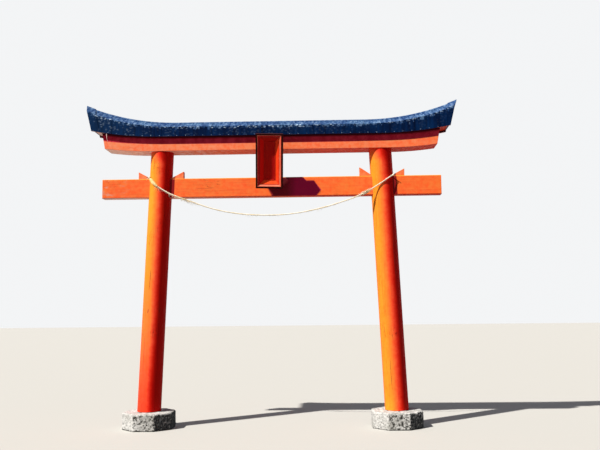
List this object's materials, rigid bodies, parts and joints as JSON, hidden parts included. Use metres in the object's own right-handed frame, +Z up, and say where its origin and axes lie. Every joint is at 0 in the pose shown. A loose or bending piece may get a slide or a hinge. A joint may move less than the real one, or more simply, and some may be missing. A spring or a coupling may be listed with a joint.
{
  "type": "torii gate",
  "caption": "Vermilion torii gate with leaning round posts, a wedged tie beam, an upswept blue-clad roof beam, a bare name board and a straw rope.",
  "frame": {"origin": "on the level ground, at the centre of the gate's footprint box, half way between the two posts", "axes": "+X along the gate to the right as seen from the front, +Y from the front to the back, +Z up; the name board faces -Y"},
  "size_m": [6.5412, 1.0064, 5.6114],
  "materials": {
    "vermilion_timber": "satin vermilion paint, weathered",
    "dark_red_timber": "matte dark red paint",
    "navy_metal": "dark blue painted sheet, weathered",
    "roof_metal": "blue painted roof sheet, satin",
    "stone": "rough grey-white stone",
    "straw": "twisted straw",
    "iron": "dark iron"
  },
  "bodies": {
    "root": {"left_base_stone": "stone", "right_base_stone": "stone", "left_post": "vermilion_timber", "right_post": "vermilion_timber", "tie_beam": "vermilion_timber", "left_outer_wedge": "vermilion_timber", "left_inner_wedge": "vermilion_timber", "right_inner_wedge": "vermilion_timber", "right_outer_wedge": "vermilion_timber", "centre_strut": "vermilion_timber", "lintel": "vermilion_timber", "roof_beam": "vermilion_timber", "front_fascia": "vermilion_timber", "back_fascia": "vermilion_timber", "front_fascia_sheet": "navy_metal", "back_fascia_sheet": "navy_metal", "front_roof_deck": "roof_metal", "back_roof_deck": "roof_metal", "ridge_cap": "roof_metal", "left_end_board": "navy_metal", "right_end_board": "navy_metal", "left_end_trim": "navy_metal", "right_end_trim": "navy_metal", "board_panel": "dark_red_timber", "board_top_rail": "vermilion_timber", "board_bottom_rail": "vermilion_timber", "board_left_stile": "vermilion_timber", "board_right_stile": "vermilion_timber", "board_cleat": "vermilion_timber", "board_hanger": "vermilion_timber", "board_left_rod": "iron", "board_right_rod": "iron", "rope": "straw", "left_rope_knot": "straw", "right_rope_knot": "straw", "left_rope_nail": "iron", "right_rope_nail": "iron"}
  },
  "joints": []
}
